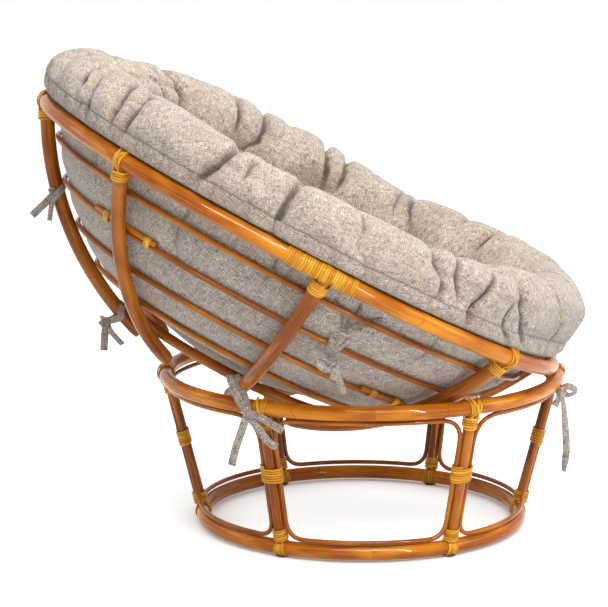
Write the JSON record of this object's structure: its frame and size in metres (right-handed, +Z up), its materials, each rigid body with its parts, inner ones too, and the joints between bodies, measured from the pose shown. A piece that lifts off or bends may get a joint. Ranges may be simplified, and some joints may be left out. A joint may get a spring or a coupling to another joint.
{
  "type": "papasan chair",
  "caption": "Round rattan bowl chair with a thick tufted cushion, leaning forward in a drum-shaped cane base; the bowl tilts on the base ring.",
  "frame": {"origin": "centre of the bounding box on the floor", "axes": "+Z up, the chair faces -Y, X is the width"},
  "size_m": [1.1606, 1.0662, 0.9601],
  "materials": {
    "pole": "glossy varnished rattan pole",
    "cane": "glossy varnished thin cane",
    "binding": "satin split cane",
    "linen": "coarse woven cloth over soft filling"
  },
  "bodies": {
    "base": {"bottom_ring": "pole", "foot_binding_1": "binding", "foot_binding_2": "binding", "foot_binding_3": "binding", "foot_binding_4": "binding", "foot_binding_5": "binding", "foot_binding_6": "binding", "leg_1": "pole", "leg_2": "pole", "leg_3": "pole", "leg_4": "pole", "leg_5": "pole", "leg_6": "pole", "loop_1": "cane", "loop_2": "cane", "loop_3": "cane", "loop_4": "cane", "loop_5": "cane", "loop_6": "cane", "mid_binding_1": "binding", "mid_binding_2": "binding", "mid_binding_3": "binding", "mid_binding_4": "binding", "mid_binding_5": "binding", "mid_binding_6": "binding", "top_binding_1": "binding", "top_binding_2": "binding", "top_binding_3": "binding", "top_binding_4": "binding", "top_binding_5": "binding", "top_binding_6": "binding", "top_ring": "pole"},
    "bowl": {"cushion": "linen", "hoop_1": "cane", "hoop_2": "cane", "hoop_3": "cane", "hoop_4": "cane", "lower_ring": "pole", "post_1": "pole", "post_2": "pole", "post_3": "pole", "post_4": "pole", "post_5": "pole", "post_6": "pole", "post_7": "pole", "post_8": "pole", "rim": "pole", "rim_binding_1": "binding", "rim_binding_2": "binding", "rim_binding_3": "binding", "rim_binding_4": "binding", "rim_binding_5": "binding", "rim_binding_6": "binding", "rim_binding_7": "binding", "rim_binding_8": "binding", "tie_back_1": "linen", "tie_back_2": "linen", "tie_hoop": "linen", "tie_ring_1": "linen", "tie_ring_2": "linen"}
  },
  "joints": [
    {"name": "bowl_tilt", "type": "hinge", "parent": "base", "child": "bowl", "pos_m": [0, -0.09944, 0.81986], "axis": [-1, 0, 0], "range_deg": [0, 27.8], "deforming": ["tie_ring_1", "tie_ring_2", "tie_back_2"]}
  ]
}
